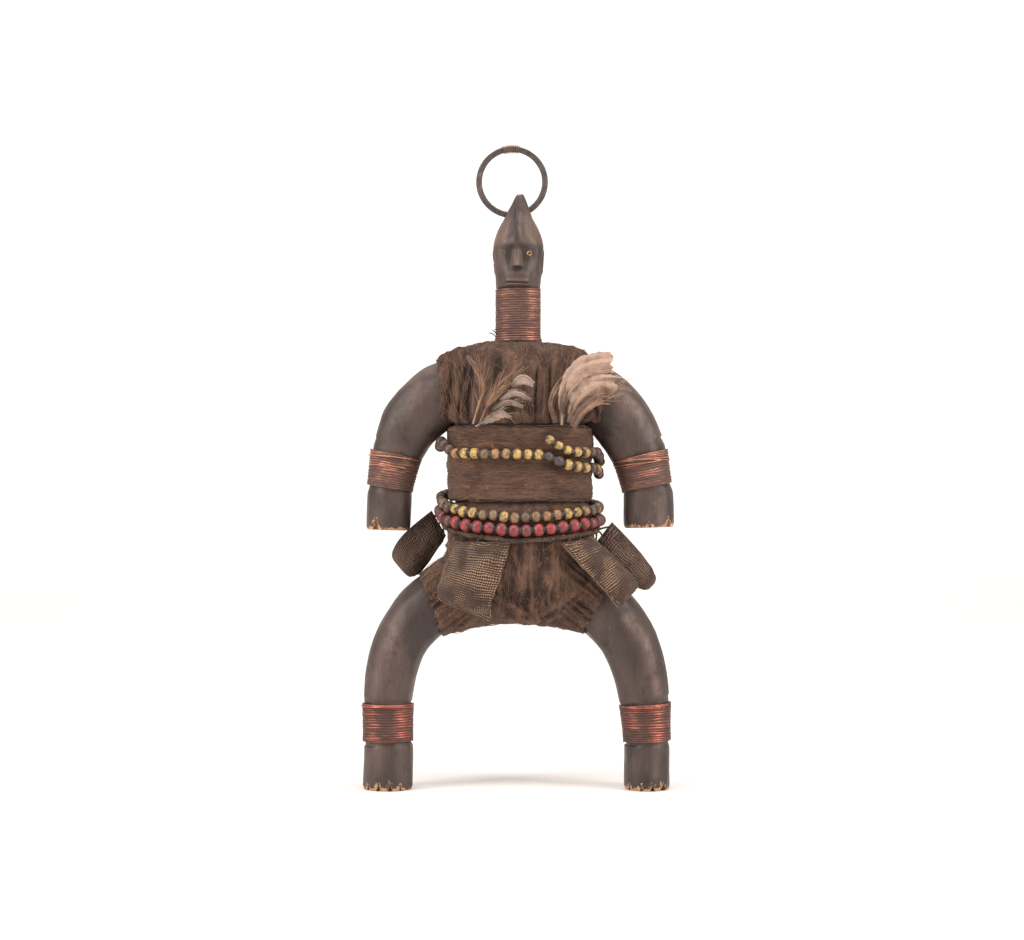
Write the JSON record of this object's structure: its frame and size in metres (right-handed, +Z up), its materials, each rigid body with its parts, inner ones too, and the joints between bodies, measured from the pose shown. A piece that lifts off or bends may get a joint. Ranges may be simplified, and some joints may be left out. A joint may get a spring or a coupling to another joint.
{
  "type": "namji doll",
  "caption": "Carved wooden doll with a pointed head and bow-shaped limbs, wrapped in cloth and copper wire, with bead strings, pouches, feathers and an iron hanging ring",
  "frame": {"origin": "on the ground, in the middle of the figure's bounding box", "axes": "+Z is up along the figure, the face looks along -Y, +X is the viewer's right from the front"},
  "size_m": [0.1735, 0.0763, 0.3579],
  "materials": {
    "wood": "dark stained hardwood, worn to a grey satin sheen",
    "iron": "dark oxidised iron wire",
    "copper": "tarnished copper wire with bright worn edges",
    "cloth": "fibrous cotton cloth stiff with brown grime",
    "yellow_beads": "opaque yellow, ochre and dark beads, worn",
    "red_beads": "opaque crimson beads, worn",
    "pouch_cloth": "coarse dark woven cloth with tan threads",
    "feather": "dry tan and grey feather vanes",
    "brass": "small brass-coloured ring beads"
  },
  "bodies": {
    "root": {"wooden_figure": "wood", "hanging_ring": "iron", "ring_binding": "copper", "left_eye": "brass", "right_eye": "brass", "neck_wire": "copper", "left_arm_wire": "copper", "right_arm_wire": "copper", "left_ankle_wire": "copper", "right_ankle_wire": "copper", "chest_cloth": "cloth", "waist_band": "cloth", "hip_cloth": "cloth", "upper_bead_string": "yellow_beads", "lower_yellow_beads": "yellow_beads", "red_beads": "red_beads", "pouch_cord": "cloth", "pouch_front_left": "pouch_cloth", "pouch_side_left": "pouch_cloth", "pouch_front_right": "pouch_cloth", "pouch_side_right": "pouch_cloth", "feather_left_quill": "feather", "feather_left_fan": "feather", "feather_left_curl": "feather", "feather_left_tuft": "feather", "feather_right_back": "feather", "feather_right_arch": "feather", "feather_right_broad": "feather", "feather_right_low": "feather"}
  },
  "joints": []
}
